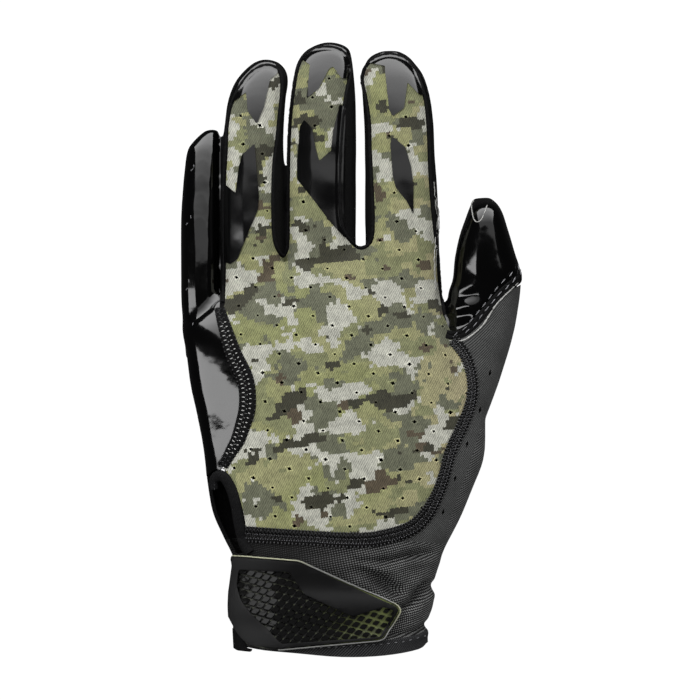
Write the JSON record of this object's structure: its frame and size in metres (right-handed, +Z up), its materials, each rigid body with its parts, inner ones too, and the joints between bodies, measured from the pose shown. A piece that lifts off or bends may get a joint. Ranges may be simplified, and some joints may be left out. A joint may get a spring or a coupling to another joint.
{
  "type": "football receiver glove",
  "caption": "Left-hand receiver glove with a knit back, glossy grip palm, seam tapes, finger overlays, vent and wrist tab, lying palm down.",
  "frame": {"origin": "on the resting plane, below the middle of the glove's bounding box", "axes": "+Z up out of the back of the hand, +Y towards the fingertips, +X towards the thumb"},
  "size_m": [0.1356, 0.2438, 0.0343],
  "materials": {
    "camo_knit": "fine knit printed with a blocky camouflage in sage, stone and olive",
    "grip_silicone": "glossy black silicone coating",
    "black_knit": "matte black stretch knit",
    "rib_knit": "charcoal rib knit",
    "seam_tape": "black tape with flatlock and zig-zag stitches",
    "gloss_film": "glossy black bonded film",
    "tab_ply": "olive ply with a pale cut edge",
    "tab_rubber": "matte moulded black",
    "tab_lattice": "glossy black moulded lattice"
  },
  "bodies": {
    "root": {"back_panel": "camo_knit", "ulnar_wrap": "grip_silicone", "palm_sheet": "grip_silicone", "thumb_tip": "grip_silicone", "fourchette_little_ring": "black_knit", "fourchette_ring_middle": "black_knit", "fourchette_middle_index": "black_knit", "index_side": "black_knit", "side_patch": "black_knit", "vent_binding": "black_knit", "heel_gusset": "black_knit", "strap_end": "black_knit", "thumb_base": "rib_knit", "cuff_band": "rib_knit", "cuff_hem": "rib_knit", "ulnar_seam": "seam_tape", "border_seam": "seam_tape", "thumb_seam": "seam_tape", "ring_tip_cap": "gloss_film", "ring_knuckle": "gloss_film", "middle_tip_cap": "gloss_film", "middle_knuckle": "gloss_film", "index_tip_cap": "gloss_film", "index_knuckle": "gloss_film", "tab_base": "tab_ply", "tab_top": "tab_rubber", "tab_lattice": "tab_lattice"}
  },
  "joints": []
}
